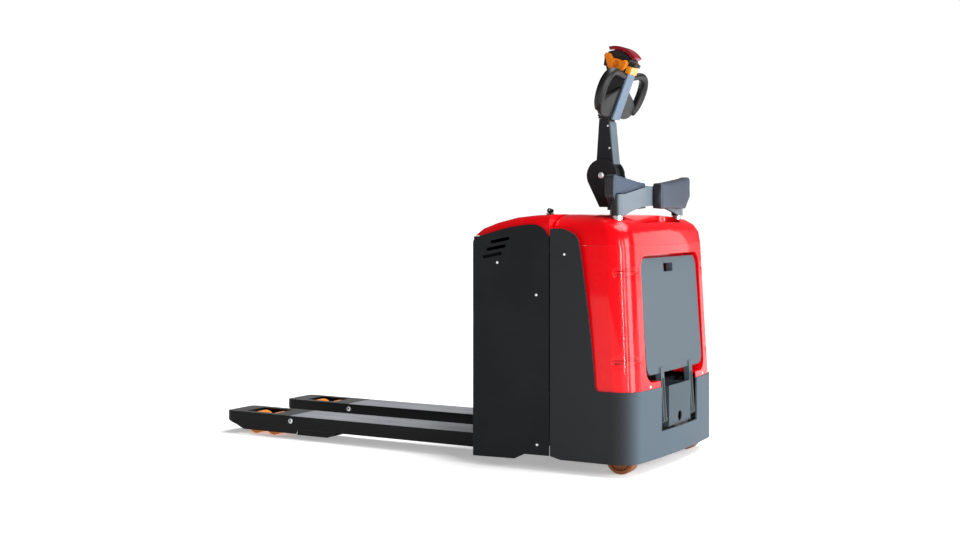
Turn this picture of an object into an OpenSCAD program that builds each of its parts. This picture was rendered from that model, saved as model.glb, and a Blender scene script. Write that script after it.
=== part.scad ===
// Electric stand-on pallet truck: forks point to -X, the operator stands at +X, the ground is z = 0.

/* [Overall] */
// Width across the side plates and the skirt
body_w = 730; // [640:1:900]
// Length of the body, from the load face to the rear face
body_len = 574; // [560:1:700]
// Length of the forks in front of the load face
fork_len = 1149; // [950:1:1400]
// Height of the crown of the hood
hood_z = 827; // [815:1:860]
// Distance of the joint between load frame and drive unit from the rear face
split_d = 291; // [286:1:320]
// Gap at that joint
split_gap = 5; // [3:0.5:10]

/* [Plates and covers] */
// Thickness of the steel side plates and of the skirt
plate_t = 6; // [4:0.5:8]
// Thickness of the moulded covers
cover_t = 4; // [3:0.5:5]
// Height of the lower edge of the skirt
skirt_low = 42; // [30:1:60]
// Height of the upper edge of the skirt
skirt_top = 268; // [255:1:275]
// Plan radius of the rear corners
corner_r = 76; // [50:1:95]
// Plan radius of the bowed rear face
bow_r = 3000; // [2500:10:6000]
// Height of the joint between rear cover and hood
hood_joint = 727; // [715:1:740]
// Plan inset of the cover at the hood joint, at the sides
side_lean = 20; // [8:1:26]
// Plan inset of the cover at the hood joint, at the rear
rear_lean = 28; // [10:1:34]
// Depth of the dish in the hood
tray_depth = 16; // [8:1:20]

/* [Forks] */
// Width of one fork
fork_w = 156; // [128:1:190]
// Distance across the outer faces of the forks
fork_span = 524; // [500:1:560]
// Height of the lowered fork top
fork_top = 85; // [84:1:92]
// Depth of the fork channel
fork_depth = 48; // [42:1:52]
// Thickness of the fork's side and top plates
fork_t = 6; // [5:0.5:7]
// Diameter of the load rollers
roller_d = 80; // [66:1:80]
// Width of the load rollers
roller_w = 70; // [50:1:72]
// Gap between the two rollers of a pair
roller_gap = 4; // [3:1:8]
// Distance of the load arm's pivot from the fork tip
arm_pivot_tip = 312; // [300:1:330]
// Length of the lever that the push rod works on
lever = 22; // [18:1:24]

/* [Wheels] */
// Diameter of the drive wheel
drive_d = 220; // [180:1:222]
// Width of the drive wheel
drive_w = 70; // [55:1:80]
// Diameter of the caster wheels
caster_d = 100; // [84:1:104]
// Width of the caster wheels
caster_w = 45; // [35:1:50]
// Distance of each caster from the centre line
caster_y = 273; // [255:1:280]
// Trail of the casters
caster_trail = 22; // [15:1:28]

/* [Tiller] */
// Distance of the steering axis from the rear face
steer_d = 216; // [205:1:225]
// Height of the tiller's tilt pivot
tilt_z = 959; // [940:1:990]
// Radius of the tiller's pivot discs
disc_r = 56; // [48:1:60]
// Width of the tiller arm
arm_w = 52; // [44:1:58]
// Lean of the tiller head towards the operator
head_lean = 21.3; // [10:0.1:30]
// Distance of each grip from the centre line
grip_y = 158; // [140:1:185]
// Diameter of the grips
grip_d = 31; // [26:1:34]

/* [Backrest] */
// Distance of each post from the centre line
post_y = 254; // [230:1:262]
// Diameter of the posts
post_d = 34; // [28:1:38]
// Distance of the posts from the rear face
post_d_rear = 102; // [98:1:110]
// Length of one backrest pad
pad_len = 265; // [220:1:275]
// Thickness of one backrest pad
pad_t = 36; // [30:1:40]

/* [Platform] */
// Width of the folding platform
plat_w = 480; // [400:1:484]
// Length of the folding platform
plat_len = 375; // [312:1:380]
// Height of the platform's hinge pin
hinge_z = 158; // [150:1:165]
// Lean of the folded platform towards the truck
plat_lean = 4; // [0:0.5:4.5]

/* [Hidden] */
$fn = 64;
eps = 0.01;
// radial clearance of pins and rods that run in bores
run = 0.1;
// clearance between faces of pieces that move past each other
gap = 0.5;

// datums along X, with the middle of the overall length at 0
function bow(half, r) = bow_r - r - sqrt(pow(bow_r - r, 2) - pow(half - r, 2));
rear_x = (body_len + fork_len - bow(body_w / 2, corner_r)) / 2;
load_x = rear_x - body_len;
tip_x = load_x - fork_len;
half_w = body_w / 2;
inner_w = half_w - plate_t;
steer_x = rear_x - steer_d;
post_x = rear_x - post_d_rear;
hinge_x = rear_x;
drive_front = rear_x - split_d + split_gap / 2;
load_back = rear_x - split_d - split_gap / 2;

// load frame
panel_low = 29;
box_wall = 6;
box_back = rear_x - 352;
bulkhead_x = rear_x - 345;
bulkhead_t = 6;
lid_back = load_x + 175;
lid_gap = 0.8;
lid_low = 756;
fork_yc = (fork_span - fork_w) / 2;
heel_x = box_back;
roller_r = roller_d / 2;
bogie_x = tip_x + 155;
roller_step = (roller_d + roller_gap) / 2;
arm_x = tip_x + arm_pivot_tip;
arm_z = fork_top - 19;
lever_z = arm_z - lever;
torsion_x = load_x + 124;
tip_low = 20;
rod_d = 16;
eye_t = 10;
stroke = 120;

// drive unit
deck_z = skirt_top - 12;
deck_t = 12;
upper_deck = 700;
upper_deck_t = 8;
cut_w = 310;
ring_r = 71;
cut_low = 125;
pocket_back = 74;
pocket_w = plat_w + 26;
pocket_low = 288;
plat_low = 311;
plat_t = 22;
mat_t = 6;
arm_bar_y = 123;
arm_bar_w = 26;
arm_bar_t = 20;
pin_r = 6;
tray_w = 380;
tray_len = 96;
sleeve_low = 822;
sleeve_top = 891;

// tiller
tilt_x = steer_x - 44;
base_z = 851;
column_r = 26;
head_x = steer_x - 6;
head_z = tilt_z + 189;
stripe_len = 162;
handle_b = -10;

function arc(c, r, a0, a1, n = 12) =
    [for (i = [0 : n]) c + r * [cos(a0 + (a1 - a0) * i / n), sin(a0 + (a1 - a0) * i / n)]];

// a profile drawn in X and Z, extruded from y0 to y1
module xz(y0, y1) {
    translate([0, y1, 0]) rotate([90, 0, 0]) linear_extrude(height = y1 - y0) children();
}

// a profile drawn in Y and Z, extruded from x0 to x1
module yz(x0, x1) {
    translate([x0, 0, 0]) rotate([90, 0, 90]) linear_extrude(height = x1 - x0) children();
}

// a box between two corners
module box(a, b) {
    translate(a) cube(b - a);
}

// a round bar along Y through the point c of X and Z
module ybar(c, r, y0, y1) {
    translate([c[0], y1, c[1]]) rotate([90, 0, 0]) cylinder(r = r, h = y1 - y0);
}

// a flat link with round ends between two points of X and Z
module link(p, q, r, y0, y1) {
    d = q - p;
    xz(y0, y1) {
        translate(p) circle(r);
        translate(q) circle(r);
        translate(p) rotate(atan2(d[1], d[0])) translate([0, -r]) square([norm(d), 2 * r]);
    }
}

// plan outline of the drive unit: square front, rounded rear corners, bowed rear face
module plan(front, rear, half, r) {
    span = (half - r) * bow_r / (bow_r - r);
    translate([front, -half]) square([rear - r - front, 2 * half]);
    for (s = [-1, 1]) translate([rear - r, s * (half - r)]) circle(r);
    intersection() {
        translate([rear + bow(half, r) - bow_r, 0]) circle(bow_r, $fn = 720);
        translate([rear - r - eps, -span]) square([r + 60, 2 * span]);
    }
}

module slab(z, front, rear, half, r) {
    translate([0, 0, z]) linear_extrude(height = 0.1) plan(front, rear, half, r);
}

// ---------- drive unit ----------

module chassis_frame() {
    color([0.13, 0.13, 0.14]) difference() {
        union() {
            // main deck with its side flanges
            difference() {
                translate([0, 0, deck_z]) linear_extrude(height = deck_t)
                    plan(bulkhead_x, rear_x - plate_t - 0.1, inner_w - 0.1, corner_r - plate_t - 0.1);
                box([rear_x - pocket_back - cover_t - 2, -pocket_w / 2 - cover_t - 2, deck_z - eps],
                    [rear_x + 60, pocket_w / 2 + cover_t + 2, deck_z + deck_t + eps]);
                for (s = [-1, 1])
                    box([bulkhead_x - eps, s > 0 ? inner_w - 26 : -inner_w - 1, deck_z - eps],
                        [drive_front, s > 0 ? inner_w + 1 : -inner_w + 26, deck_z + deck_t + eps]);
            }
            // bulkhead with the arch over the drive wheel
            yz(bulkhead_x, bulkhead_x + bulkhead_t) difference() {
                translate([-inner_w + 26, 66]) square([2 * (inner_w - 26), 620]);
                translate([-150, 0]) square([300, 262]);
            }
            // rails that guide the load frame
            for (s = [-1, 1])
                box([bulkhead_x + bulkhead_t, s * 230 - 20, deck_z + deck_t], [bulkhead_x + 30, s * 230 + 20, 680]);
            // gusset walls between the decks
            for (s = [-1, 1])
                box([rear_x - 280, s * (half_w - 39) - 4, deck_z + deck_t],
                    [rear_x - 128, s * (half_w - 39) + 4, upper_deck]);
            // upper deck
            box([rear_x - 280, -half_w + 35, upper_deck],
                [post_x + 22.5, half_w - 35, upper_deck + upper_deck_t]);
            // guide tubes of the backrest posts
            for (s = [-1, 1]) translate([post_x, s * post_y, 520]) cylinder(r = post_d / 2 + 5, h = 268);
            for (s = [-1, 1])
                box([post_x - 40, s * post_y - 16, 520], [post_x, s * post_y + 16, 526]);
            for (s = [-1, 1])
                box([post_x - 40, s > 0 ? post_y : -half_w + 35, 520],
                    [post_x - 26, s > 0 ? half_w - 35 : -post_y, 526]);
            // rear cross wall behind the hinge bracket
            box([rear_x - 86, -cut_w / 2 - 12, 66], [rear_x - 80, cut_w / 2 + 12, deck_z + 1]);
            // caster tubes
            for (s = [-1, 1]) translate([rear_x - 76 - caster_trail, s * caster_y, 146])
                cylinder(r = 27, h = deck_z - 146);
            // column bearing
            translate([steer_x, 0, upper_deck - 20]) cylinder(r = column_r + 12, h = 34);
        }
        translate([steer_x, 0, deck_z - 30]) cylinder(r = ring_r + 2, h = 60);
        translate([steer_x, 0, upper_deck - 30]) cylinder(r = column_r + run, h = 60);
        for (s = [-1, 1]) translate([post_x, s * post_y, 510])
            cylinder(r = post_d / 2 + run, h = 300);
        for (s = [-1, 1]) translate([rear_x - 76 - caster_trail, s * caster_y, 140])
            cylinder(r = 12 + run, h = 120);
    }
}

// back edge of the side plate, measured from the rear face at height z
function plate_back(z) = 129 + 54 * pow((z - skirt_top) / 457, 1.25);

module drive_shell() {
    top_pts = concat(
        [[drive_front, 781], [rear_x - 250, 782]],
        [[rear_x - 225, 775], [rear_x - 201, 763], [rear_x - 189, 748]],
        [for (i = [0 : 10]) let (z = skirt_top + 12 + (445 - 12) * (1 - i / 10)) [rear_x - plate_back(z), z]],
        arc([rear_x - plate_back(skirt_top) + 12, skirt_top + 10], 10, 180, 270, 5),
        [[rear_x + 40, skirt_top], [rear_x + 40, skirt_low], [rear_x - 251, skirt_low], [drive_front, 51]]);
    color([0.20, 0.21, 0.22]) difference() {
        intersection() {
            linear_extrude(height = hood_z) difference() {
                plan(drive_front, rear_x, half_w, corner_r);
                plan(drive_front - 1, rear_x - plate_t, inner_w, corner_r - plate_t);
            }
            xz(-half_w - 1, half_w + 1) polygon(top_pts);
        }
        box([rear_x - 2 * plate_t, -cut_w / 2, cut_low], [rear_x + 40, cut_w / 2, skirt_top + 1]);
    }
}

// outer or inner form of the rear cover
module cover_form(t) {
    hull() {
        slab(skirt_top + 0.3, rear_x - split_d + 40, rear_x - 3 - t, half_w - 7 - t, corner_r - t);
        slab(hood_joint - 0.4, rear_x - split_d + 40, rear_x - rear_lean - t,
            half_w - side_lean - t, corner_r - 6 - t);
    }
}

module pocket_plan(grow) {
    r = 45 + grow;
    w = pocket_w / 2 + grow;
    top = 697 + grow;
    low = pocket_low - grow;
    translate([-w, low + r]) square([2 * w, top - low - 2 * r]);
    translate([-w + r, low]) square([2 * (w - r), top - low]);
    for (s = [-1, 1]) for (z = [low + r, top - r]) translate([s * (w - r), z]) circle(r);
}

module rear_cover() {
    color([0.86, 0.03, 0.05]) difference() {
        union() {
            difference() {
                cover_form(0);
                translate([0, 0, -0.2]) cover_form(cover_t);
                translate([0, 0, 0.2]) cover_form(cover_t);
            }
            // walls of the platform pocket
            intersection() {
                cover_form(0);
                yz(rear_x - pocket_back - cover_t, rear_x + 40) pocket_plan(cover_t);
            }
        }
        yz(rear_x - pocket_back, rear_x + 40) pocket_plan(0);
        box([rear_x - pocket_back - 20, -cut_w / 2, skirt_top - 9],
            [rear_x + 40, cut_w / 2, pocket_low + 30]);
        // the side plates stand outside the cover
        box([rear_x - split_d - 1, -half_w, hood_joint - 30], [rear_x - 270, half_w, hood_z]);
    }
}

// outer or inner form of the hood; each row is height, rear inset and extra side inset
module hood_form(t) {
    rows = [[hood_joint, rear_lean, 0], [hood_z - 62, rear_lean + 6, 3], [hood_z - 37, rear_lean + 20, 14],
        [hood_z - 20, rear_lean + 44, 34], [hood_z - 9, rear_lean + 80, 60],
        [hood_z - 3, rear_lean + 130, 92], [hood_z - 0.1, rear_lean + 200, 125]];
    hull() for (row = rows)
        slab(row[0] - t, drive_front, rear_x - row[1] - t, half_w - side_lean - row[2] - t,
            min(corner_r - 6 - t, (rear_x - row[1] - t - drive_front) / 2 - 1));
}

module top_hood() {
    tray_x = post_x + 6;
    color([0.86, 0.03, 0.05]) difference() {
        union() {
            difference() {
                hood_form(0);
                hood_form(cover_t);
                box([drive_front - 1, -half_w, hood_joint - 20], [rear_x, half_w, hood_joint]);
            }
            // bottom and walls of the dish
            intersection() {
                hood_form(0);
                translate([tray_x - tray_len / 2, -tray_w / 2, hood_z - 26 - tray_depth])
                    tray_plan(cover_t, 60);
            }
        }
        translate([tray_x - tray_len / 2, -tray_w / 2, hood_z - 22 - tray_depth]) tray_plan(0, 60);
        translate([steer_x, 0, hood_z - 60]) cylinder(r = column_r + 5, h = 100);
        for (s = [-1, 1]) translate([post_x, s * post_y, hood_z - 90]) cylinder(r = post_d / 2 + 7, h = 120);
    }
}

// plan of the dish with rounded ends, from its own corner
module tray_plan(grow, h) {
    r = 44 + grow;
    translate([tray_len / 2, tray_w / 2, 0]) linear_extrude(height = h) {
        for (s = [-1, 1]) translate([0, s * (tray_w / 2 - 44)]) circle(r);
        translate([-r, -tray_w / 2 + 44]) square([2 * r, tray_w - 88]);
    }
}

module hinge_bracket() {
    color([0.36, 0.40, 0.43]) difference() {
        union() {
            // centre panel in the skirt cutout
            box([rear_x + 6.5, -94, 140], [rear_x + 10.5, 94, 266]);
            // side cheeks to the cross wall, which hold the hinge pin
            for (s = [-1, 1]) box([rear_x - 80, s * 91 - 3, 132], [rear_x + 10.5, s * 91 + 3, 262]);
            box([rear_x - 80, -92, 132], [rear_x + 6.5, 92, 138]);
            // lug and stud of the gas strut
            box([rear_x - 80, -167, 120], [rear_x - 4, -159, 146]);
            ybar(gas_low, 4, -160, gas_y + 7);
        }
        translate([rear_x, 0, 158]) rotate([0, 90, 0]) cylinder(r = 17, h = 12);
        ybar([hinge_x, hinge_z], pin_r + run, -100, 100);
    }
}

module controller() {
    z0 = deck_z + deck_t;
    color([0.55, 0.57, 0.60]) {
        box([rear_x - 270, 120, z0], [rear_x - 150, 300, z0 + 90]);
        for (i = [0 : 8]) box([rear_x - 268, 126 + 20 * i, z0 + 90], [rear_x - 152, 130 + 20 * i, z0 + 120]);
    }
}

module hydraulic_unit() {
    z0 = deck_z + deck_t;
    color([0.30, 0.31, 0.33]) {
        box([rear_x - 276, -306, z0], [rear_x - 150, -120, z0 + 110]);
        translate([rear_x - 200, -210, z0 + 110]) cylinder(r = 46, h = 170);
        translate([rear_x - 200, -210, z0 + 280]) cylinder(r = 20, h = 12);
        translate([rear_x - 262, -270, z0 + 110]) cylinder(r = 11, h = 16);
    }
}

module lift_cylinder() {
    color([0.16, 0.16, 0.17]) difference() {
        union() {
            translate([rear_x - 318, 0, deck_z + deck_t]) cylinder(r = 20, h = 250);
            translate([rear_x - 318, 0, deck_z + deck_t + 230]) cylinder(r = 20.4, h = 20);
        }
        translate([rear_x - 318, 0, deck_z + deck_t + 10]) cylinder(r = 12 + run, h = 260);
    }
}

// ---------- load frame ----------

module battery_box() {
    wall_top = 754;
    side_in = inner_w - 0.3;
    color([0.12, 0.12, 0.13]) difference() {
        union() {
            // front wall with the notch over the forks, rear wall, floor
            yz(load_x, load_x + box_wall) difference() {
                translate([-side_in, panel_low + 8]) square([2 * side_in, wall_top - panel_low - 8]);
                for (s = [-1, 1]) translate([s * fork_yc - fork_w / 2 - 1, 0]) square([fork_w + 2, fork_top]);
            }
            box([box_back - box_wall, -side_in, fork_top], [box_back, side_in, 700]);
            box([load_x, -side_in, fork_top], [box_back, side_in, fork_top + 6]);
            // inner side walls that carry the side panels
            for (s = [-1, 1]) box([load_x, s > 0 ? side_in - 6 : -side_in, fork_top],
                [box_back, s > 0 ? side_in : -side_in + 6, 700]);
            // cheeks behind the rear wall, beside the bulkhead
            for (s = [-1, 1]) box([box_back - eps, s > 0 ? side_in - 6 : -side_in, fork_top],
                [load_back - 4, s > 0 ? side_in : -side_in + 6, 700]);
            // crossmember over the lift rod
            box([box_back - eps, -70, 690], [rear_x - 300, 70, 700]);
            // guide shoes that run on the rails
            for (s = [-1, 1]) for (z = [320, 520])
                box([box_back - eps, s * 230 - 24 - 6, z], [bulkhead_x - gap, s * 230 + 30, z + 40]);
        }
        // ports for battery lead and fixing
        translate([rear_x - 318, 0, 680]) cylinder(r = 6, h = 30);
    }
}

module side_panel(side) {
    y0 = side > 0 ? half_w - plate_t : -half_w;
    pts = concat([[load_x, panel_low]],
        arc([load_x + 22, 732], 22, 180, 104, 6),
        [[load_x + 134, 784], [load_x + 190, 792]],
        arc([load_back - 58, 736], 58, 90, 0, 10),
        [[load_back, 51], [load_x + 192, 50], [load_x + 155, 32]]);
    color([0.11, 0.11, 0.12]) difference() {
        xz(y0, y0 + plate_t) polygon(pts);
        if (side < 0) for (i = [0 : 2])
            translate([load_x + 101 - 14.5 * i, -half_w - 1, 742 - 24.5 * i]) rotate([0, -11, 0])
                link([-32, 0], [32, 0], 5.5, 0, plate_t + 2);
        if (side > 0) for (i = [0 : 2])
            translate([load_x + 101 - 14.5 * i, half_w - plate_t - 1, 742 - 24.5 * i]) rotate([0, -11, 0])
                link([-32, 0], [32, 0], 5.5, 0, plate_t + 2);
    }
}

module battery() {
    b0 = load_x + box_wall + 4;
    color([0.25, 0.26, 0.28]) {
        box([b0, -inner_w + 22, fork_top + 6], [box_back - box_wall - 4, inner_w - 22, 640]);
        for (i = [0 : 5]) for (j = [0 : 1])
            translate([b0 + 50 + 100 * j, -250 + 100 * i, 640]) cylinder(r = 18, h = 14);
    }
}

// outer or inner form of the crowned top over the battery; rows are distance from the load face and height
module crown_form(t) {
    rows = [[7, hood_z - 67], [24, hood_z - 46], [78, hood_z - 27], [150, hood_z - 10],
        [221, hood_z - 3], [load_back - load_x, hood_z]];
    half = inner_w - 1.2 - t;
    r = 34;
    hull() for (row = rows) translate([load_x + row[0], 0, 0]) {
        for (s = [-1, 1]) translate([0, s * (half - r), row[1] - r - t]) rotate([0, 90, 0])
            cylinder(r = r, h = 0.1, $fn = 32);
        translate([0, -half, lid_low]) cube([0.1, 2 * half, 1]);
    }
}

module crown_shell(x0, x1) {
    difference() {
        intersection() {
            crown_form(0);
            box([x0, -half_w, lid_low], [x1, half_w, hood_z + 1]);
        }
        intersection() {
            translate([0, 0, -1]) crown_form(cover_t);
            box([x0 + (x0 > load_x + 20 ? -1 : cover_t), -half_w, 0], [x1 + 1, half_w, hood_z + 1]);
        }
        box([x0 + (x0 > load_x + 20 ? -1 : cover_t), -inner_w + 5.2, 0],
            [x1 + 1, inner_w - 5.2, lid_low + 2]);
    }
}

module battery_lid() {
    color([0.86, 0.03, 0.05]) crown_shell(load_x + 7, lid_back - lid_gap);
}

key_x = rear_x - 355;
key_y = -232;
column_room = 110;

module bridge_cover() {
    color([0.86, 0.03, 0.05]) difference() {
        union() {
            crown_shell(lid_back, load_back);
            // closed end towards the hood
            intersection() {
                crown_form(0);
                box([load_back - cover_t, -half_w, lid_low], [load_back, half_w, hood_z + 1]);
            }
            // feet on the rear wall of the battery box
            for (s = [-1, 1]) box([box_back - box_wall, s * 200 - 30, 700], [box_back, s * 200 + 30, hood_z - 8]);
        }
        translate([key_x, key_y, hood_z - 40]) cylinder(r = 11, h = 60);
        // room for the steered column when the forks are up
        translate([steer_x, 0, hood_z - 100]) cylinder(r = column_room, h = 130);
    }
}

module key_switch() {
    color([0.08, 0.08, 0.09]) difference() {
        union() {
            translate([key_x, key_y, hood_z - 38]) cylinder(r = 10.9, h = 38);
            translate([key_x, key_y, hood_z - 0.5]) cylinder(r = 14, h = 3.5);
        }
        translate([key_x, key_y, hood_z - 30]) cylinder(r = 4 + run, h = 60);
    }
}

module key() {
    color([0.06, 0.06, 0.07]) {
        translate([key_x, key_y, hood_z - 28]) cylinder(r = 4, h = 32);
        difference() {
            union() {
                translate([key_x - 9, key_y - 2.5, hood_z + 3.8]) cube([18, 5, 8]);
                translate([0, key_y, 0]) ybar([key_x - 3, hood_z + 12], 8, -2.5, 2.5);
                translate([0, key_y, 0]) ybar([key_x + 5, hood_z + 10.6], 7, -2.5, 2.5);
            }
            translate([0, key_y, 0]) ybar([key_x - 3, hood_z + 14], 2.5, -4, 4);
        }
    }
}

module lift_rod() {
    color([0.85, 0.86, 0.88]) {
        translate([rear_x - 318, 0, deck_z + deck_t + 20]) cylinder(r = 12, h = 690 - deck_z - deck_t - 20);
        translate([rear_x - 318, 0, 680]) cylinder(r = 6 - run, h = 19);
    }
}

module fork(yc) {
    w2 = fork_w / 2;
    r = 35;
    profile = [[tip_x, 57], [tip_x + 12, 50], [tip_x + 56, 35], [tip_x + 91, tip_low],
        [arm_x + 22, tip_low], [arm_x + 30, fork_top - fork_depth], [heel_x, fork_top - fork_depth],
        [heel_x, fork_top], [tip_x + 10, fork_top], [tip_x, fork_top - 7]];
    color([0.13, 0.13, 0.14]) translate([0, yc, 0]) difference() {
        intersection() {
            xz(-w2, w2) polygon(profile);
            linear_extrude(height = 200) {
                translate([tip_x + r, -w2]) square([heel_x - tip_x - r, 2 * w2]);
                translate([tip_x, -w2 + r]) square([r + eps, 2 * (w2 - r)]);
                for (s = [-1, 1]) translate([tip_x + r, s * (w2 - r)]) circle(r);
            }
        }
        // hollow of the channel
        box([tip_x + 66, -w2 + fork_t, 0], [heel_x + 1, w2 - fork_t, fork_top - fork_t]);
        // opening over the rollers
        box([bogie_x - roller_step - 28, -50, 40], [bogie_x + roller_step + 28, 50, fork_top + 1]);
        ybar([arm_x, arm_z], 8 + run, -w2 - 1, w2 + 1);
        ybar([torsion_x, arm_z], 10 + run, -w2 - 1, w2 + 1);
    }
}

module skid(yc) {
    w2 = fork_w / 2 - 1;
    x0 = arm_x + 30;
    pts = [[x0, 17], [x0 + 135, 17], [x0 + 172, fork_top - fork_depth],
        [x0 + 1, fork_top - fork_depth]];
    color([0.10, 0.10, 0.11]) translate([0, yc, 0]) difference() {
        xz(-w2, w2) polygon(pts);
        box([x0 - 1, -w2 + 5, 22], [x0 + 180, w2 - 5, 60]);
    }
}

module torsion_shaft() {
    color([0.35, 0.36, 0.38]) {
        ybar([torsion_x, arm_z], 10, -fork_span / 2 - 4, fork_span / 2 + 4);
        for (s = [-1, 1])
            link([torsion_x, arm_z], [torsion_x, lever_z], 10.5, s * fork_yc - 6, s * fork_yc + 6);
    }
}

module push_rod(yc) {
    y0 = yc + 6 + gap;
    color([0.45, 0.46, 0.48]) {
        translate([arm_x, y0 + eye_t / 2, lever_z]) rotate([0, 90, 0])
            cylinder(r = rod_d / 2 - 3, h = torsion_x - arm_x);
        for (x = [arm_x, torsion_x]) ybar([x, lever_z], 10, y0, y0 + eye_t);
    }
}

module load_arm(yc) {
    p = [arm_x, arm_z];
    b = [bogie_x, roller_r];
    out = roller_w / 2 + 9;
    color([0.16, 0.16, 0.17]) translate([0, yc, 0]) {
        for (s = [-1, 1]) {
            link(p, b, 11, s > 0 ? out : -out - 7, s > 0 ? out + 7 : -out);
            ybar(b, 8, s > 0 ? roller_w / 2 + 1 : -out - 7, s > 0 ? out + 7 : -roller_w / 2 - 1);
        }
        ybar(p, 12, -out, out);
        ybar(p, 8, -fork_w / 2 - 1.5, fork_w / 2 + 1.5);
        link(p, [arm_x, lever_z], 10.5, -6, 6);
    }
}

module bogie(yc) {
    in = roller_w / 2 + 2;
    color([0.22, 0.22, 0.23]) translate([0, yc, 0]) {
        difference() {
            for (s = [-1, 1])
                link([bogie_x - roller_step, roller_r], [bogie_x + roller_step, roller_r], 16,
                    s > 0 ? in : -in - 6, s > 0 ? in + 6 : -in);
            ybar([bogie_x, roller_r], 8 + run, -in - 10, in + 10);
        }
        for (s = [-1, 1]) ybar([bogie_x + s * roller_step, roller_r], 10, -in - 6, in + 6);
    }
}

module roller(yc, side) {
    color([0.90, 0.42, 0.08]) translate([bogie_x + side * roller_step, yc + roller_w / 2, roller_r])
        rotate([90, 0, 0]) rotate_extrude() polygon([[10 + run, 0], [roller_r - 4, 0], [roller_r, 4],
            [roller_r, roller_w - 4], [roller_r - 4, roller_w], [10 + run, roller_w]]);
}

// ---------- steering ----------

module drive_unit() {
    r = drive_d / 2;
    color([0.28, 0.29, 0.31]) {
        // slewing head and motor
        translate([steer_x, 0, drive_d + 3]) cylinder(r = ring_r, h = deck_z + deck_t - drive_d - 2);
        translate([steer_x, 0, deck_z + deck_t]) cylinder(r = 66, h = 200);
        translate([steer_x, 0, deck_z + deck_t + 200]) cylinder(r = 40, h = 30);
        // gear leg beside the wheel
        xz(drive_w / 2 + 3, drive_w / 2 + 45) {
            translate([steer_x, r]) circle(52);
            translate([steer_x - 52, r]) square([104, drive_d + 8 - r]);
        }
        // wheel hub
        ybar([steer_x, r], 24, -drive_w / 2 + 8, drive_w / 2 + 4);
        // bearing ring on the deck
        difference() {
            translate([steer_x, 0, deck_z + deck_t + 0.3]) cylinder(r = ring_r + 9, h = 9);
            translate([steer_x, 0, deck_z + deck_t]) cylinder(r = 65, h = 20);
        }
    }
}

module drive_wheel() {
    r = drive_d / 2;
    color([0.75, 0.33, 0.07]) translate([steer_x, drive_w / 2, r]) rotate([90, 0, 0]) rotate_extrude()
        polygon([[24 + run, 0], [70, 0], [74, 8], [r - 14, 8], [r - 10, 0], [r - 3, 0], [r, 4],
            [r, drive_w - 4], [r - 3, drive_w], [r - 10, drive_w], [r - 14, drive_w - 12],
            [60, drive_w - 20], [24 + run, drive_w - 20]]);
}

module steering_column() {
    in = arm_w / 2 + 1;
    d = disc_r;
    color([0.12, 0.12, 0.13]) difference() {
        union() {
            translate([steer_x, 0, deck_z + deck_t + 230])
                cylinder(r = column_r, h = base_z - deck_z - deck_t - 226);
            translate([steer_x, 0, base_z - 10]) cylinder(r = column_r + 9, h = 14);
            xz(-in - 8, in + 8) polygon([[tilt_x - 8, base_z], [steer_x + 34, base_z],
                [steer_x + 34, base_z + 12], [tilt_x - 8, base_z + 12]]);
            for (s = [-1, 1]) xz(s > 0 ? in : -in - 8, s > 0 ? in + 8 : -in) {
                translate([tilt_x, tilt_z]) circle(d);
                polygon([[tilt_x - 8, base_z], [steer_x + 34, base_z],
                    [tilt_x + d * cos(20), tilt_z + d * sin(20)],
                    [tilt_x - d * cos(26), tilt_z - d * sin(26)]]);
            }
        }
        ybar([tilt_x, tilt_z], 10 + run, -60, 60);
    }
}

// ---------- tiller ----------

module tiller_arm() {
    w = arm_w / 2;
    top_z = head_z + 4.6;
    color([0.13, 0.13, 0.14]) {
        xz(-w, w) {
            translate([tilt_x, tilt_z]) circle(disc_r - 12);
            polygon([[tilt_x - 24, tilt_z + 37], [tilt_x - 13, top_z], [tilt_x + 21.8, top_z],
                [tilt_x + 35, tilt_z + 37], [tilt_x + 36, tilt_z], [tilt_x - 36, tilt_z]]);
        }
        // tilt pin with its heads
        ybar([tilt_x, tilt_z], 10, -w - 13, w + 13);
    }
}

module arm_trim() {
    w = arm_w / 2;
    color([0.60, 0.66, 0.71]) xz(-w, w) polygon([[tilt_x + 37.5, tilt_z + 38], [tilt_x + 23.6, head_z - 6],
        [tilt_x + 27.6, head_z - 6], [tilt_x + 41.5, tilt_z + 38]]);
}

// children drawn in the head's own frame: b to the rear across the lean, n up along it
module head_frame() {
    translate([head_x, 0, head_z]) rotate([0, head_lean, 0]) children();
}

module tiller_head() {
    color([0.09, 0.09, 0.10]) head_frame() difference() {
        union() {
            xz(-28, 28) polygon([[-52, -14], [-6.3, 2], [-6.3, 160], [-20, 162], [-20, 188], [-8, 188],
                [-8, 202], [-104, 202], [-110, 196], [-82, 150], [-62, 60], [-56, 0]]);
            // collar at the foot
            xz(-32, 32) polygon([[-56, -6], [-6, 10], [-6, 26], [-56, 26]]);
            // shoulders that carry the throttle
            xz(-34, 34) polygon(concat([[-96, 162], [-20.5, 162], [-20.5, 188.6], [-10, 194]],
                arc([-54, 150], 74.4, 52, 122, 12), [[-104, 196]]));
            // ears beside the rocker
            for (s = [-1, 1]) box([-9, s * 26.3 - 1.7, 188.6], [2, s * 26.3 + 1.7, 202]);
        }
        ybar([-46, 178], 7 + run, -40, 40);
        // seat of the belly button
        box([-84.5, -20.5, 189], [-23.5, 20.5, 232]);
        ybar([0, 195.2], 1.6, -26.7, 26.7);
    }
}

module head_trim() {
    color([0.55, 0.66, 0.76]) head_frame() difference() {
        xz(-28.5, 28.5) polygon([[-6, 0], [0, 0], [0, stripe_len], [-6, stripe_len]]);
        xz(-40, 40) polygon([[-3, -1], [1, -1], [1, 1]]);
    }
}

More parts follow.
